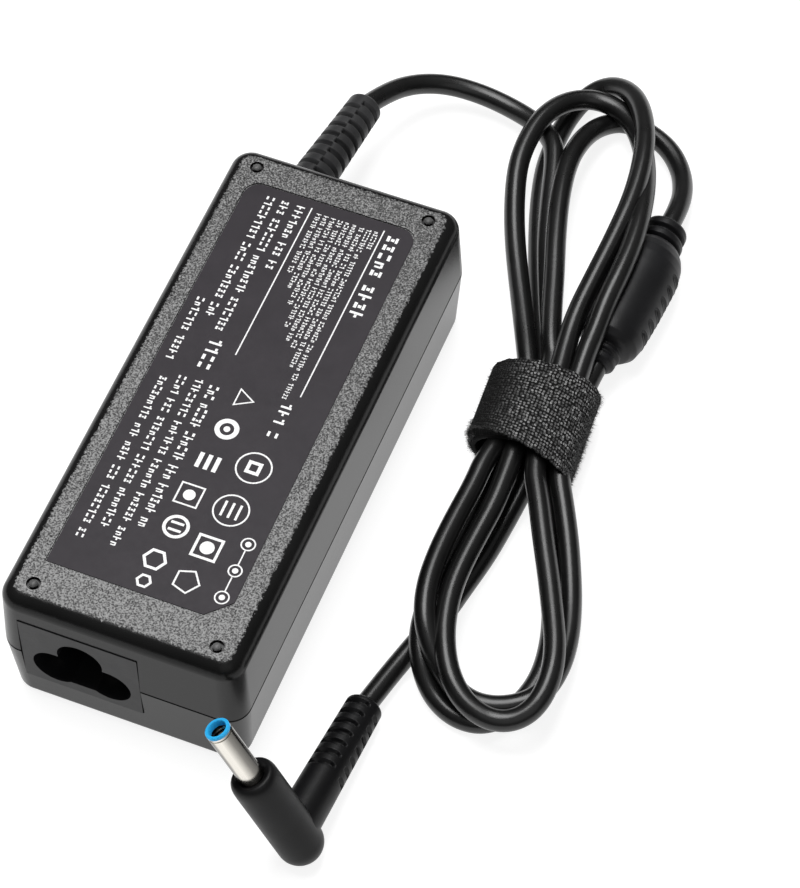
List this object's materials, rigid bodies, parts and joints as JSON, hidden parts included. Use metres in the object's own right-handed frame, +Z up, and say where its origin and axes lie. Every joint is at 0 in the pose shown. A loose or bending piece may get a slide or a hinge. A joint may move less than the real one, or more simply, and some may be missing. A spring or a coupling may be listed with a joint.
{
  "type": "laptop power adapter",
  "caption": "Slim black laptop power adapter with a rounded brick housing, a cloverleaf mains inlet, and a wound output cord with ferrite bead, fabric tie and right-angle barrel plug.",
  "frame": {"origin": "bottom centre of the housing, not counting the cord", "axes": "+Z up, +Y along the housing towards the end that the output cord leaves from, +X towards the wound cord"},
  "size_m": [0.0923, 0.1818, 0.0343],
  "materials": {
    "shell_plastic": "fine grained black moulding",
    "label_film": "satin printed film",
    "inlet_plastic": "satin",
    "contact_nickel": "bright nickel plate",
    "board_laminate": "solder mask",
    "insulating_film": "satin",
    "sheet_aluminium": "mill finish",
    "black_epoxy": "moulded",
    "blue_epoxy": "dipped",
    "green_epoxy": "dipped",
    "yellow_case": "moulded",
    "fuse_sleeve": "ceramic",
    "soft_ferrite": "sintered",
    "enamelled_copper": "enamelled",
    "winding_tape": "polyester tape",
    "bobbin_resin": "moulded",
    "capacitor_sleeve": "shrink sleeve",
    "brown_wire": "satin",
    "blue_wire": "satin",
    "earth_wire_pvc": "satin",
    "output_wire_pvc": "satin",
    "cord_pvc": "satin",
    "relief_pvc": "matt",
    "tie_fabric": "brushed loop",
    "bead_cover_pvc": "matt",
    "plug_pvc": "matt",
    "plug_nickel": "bright nickel plate",
    "plug_blue": "moulded"
  },
  "bodies": {
    "adapter": {"upper_shell": "shell_plastic", "lower_shell": "shell_plastic", "rating_label": "label_film", "ac_inlet_body": "inlet_plastic", "line_pin": "contact_nickel", "neutral_pin": "contact_nickel", "earth_pin": "contact_nickel", "circuit_board": "board_laminate", "insulating_sheet": "insulating_film", "heat_spreader": "sheet_aluminium", "fuse": "fuse_sleeve", "thermistor": "green_epoxy", "varistor": "blue_epoxy", "x_capacitor": "yellow_case", "choke_core": "soft_ferrite", "choke_windings": "enamelled_copper", "choke_base": "bobbin_resin", "y_capacitors": "blue_epoxy", "bridge_rectifier": "black_epoxy", "bulk_capacitor": "capacitor_sleeve", "primary_heatsink": "sheet_aluminium", "switching_transistor": "black_epoxy", "controller_chip": "black_epoxy", "snubber_resistors": "green_epoxy", "auxiliary_capacitor": "capacitor_sleeve", "transformer_core": "soft_ferrite", "transformer_bobbin": "bobbin_resin", "transformer_windings": "enamelled_copper", "transformer_tape": "winding_tape", "optocoupler": "black_epoxy", "output_inductor": "soft_ferrite", "secondary_heatsink": "sheet_aluminium", "output_rectifier": "black_epoxy", "output_capacitors": "capacitor_sleeve", "line_wire": "brown_wire", "neutral_wire": "blue_wire", "earth_wire": "earth_wire_pvc", "output_wires": "output_wire_pvc", "cord_strain_relief": "relief_pvc", "cord_lead": "cord_pvc", "cord_loops_upper": "cord_pvc", "cord_loops_lower": "cord_pvc", "cord_waist": "cord_pvc", "cord_bead_run": "cord_pvc", "cord_plug_lead": "cord_pvc", "ferrite_cover": "bead_cover_pvc", "ferrite_core": "soft_ferrite", "tie_wrap": "tie_fabric", "plug_body": "plug_pvc", "plug_barrel": "plug_nickel", "plug_insulator": "plug_blue", "plug_inner_contact": "plug_nickel", "plug_centre_pin": "plug_nickel"},
    "tie_tail": {"tie_tail": "tie_fabric"}
  },
  "joints": [
    {"name": "tie_tail_peel", "type": "hinge", "parent": "adapter", "child": "tie_tail", "pos_m": [0.05146, 0.02939, 0.0127], "axis": [0.0619, -0.9981, 0], "range_deg": [0, 100]}
  ]
}
